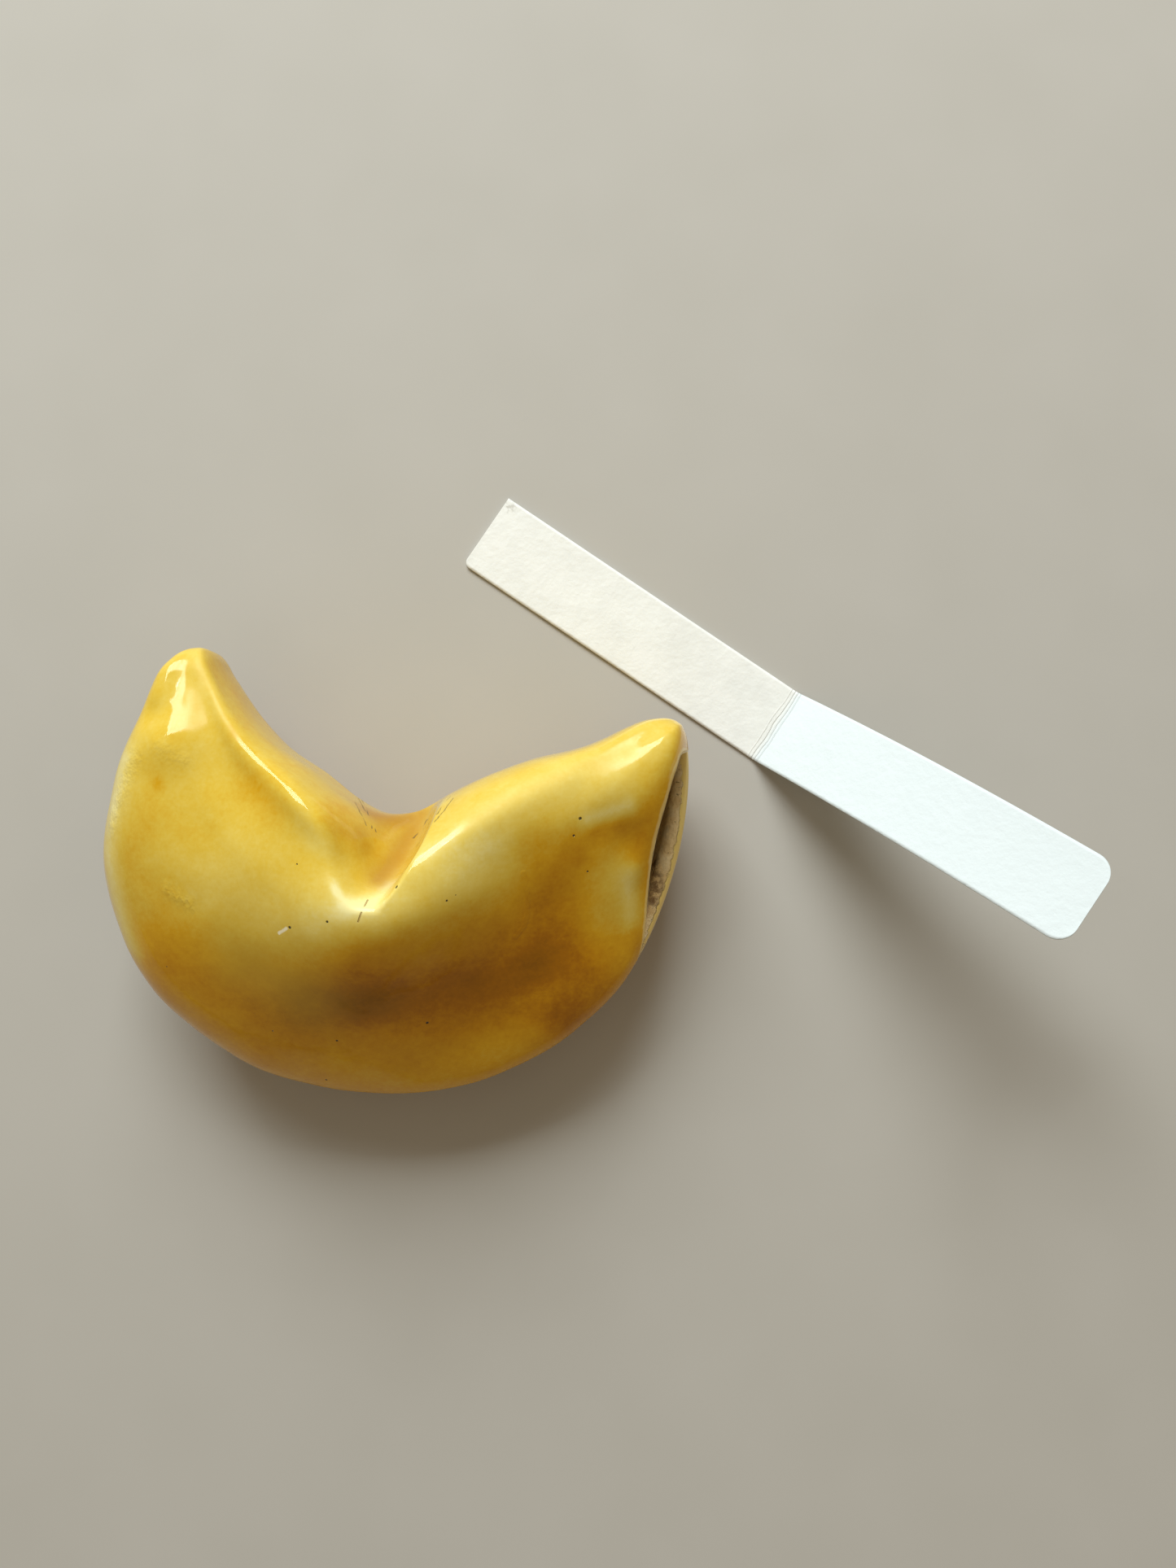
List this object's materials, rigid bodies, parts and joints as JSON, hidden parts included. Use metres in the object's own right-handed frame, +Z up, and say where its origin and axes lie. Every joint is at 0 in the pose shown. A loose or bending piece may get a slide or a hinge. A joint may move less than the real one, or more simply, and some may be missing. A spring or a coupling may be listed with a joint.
{
  "type": "ceramic fortune cookie",
  "caption": "Hollow glazed ceramic fortune cookie: a folded disc bent round a notch, open at the ends, with a creased blank paper slip beside it.",
  "frame": {"origin": "centre of the footprint of the cookie and slip together, on the surface they lie on", "axes": "+X from the cookie towards the raised end of the slip, +Y towards the cookie's notch and tips, +Z up"},
  "size_m": [0.1306, 0.087, 0.0341],
  "materials": {
    "glaze": "glossy honey-yellow glaze, paler where thin, bare tan clay inside",
    "slip_paper": "matt white grained paper"
  },
  "bodies": {
    "root": {"cookie": "glaze", "slip": "slip_paper"}
  },
  "joints": []
}
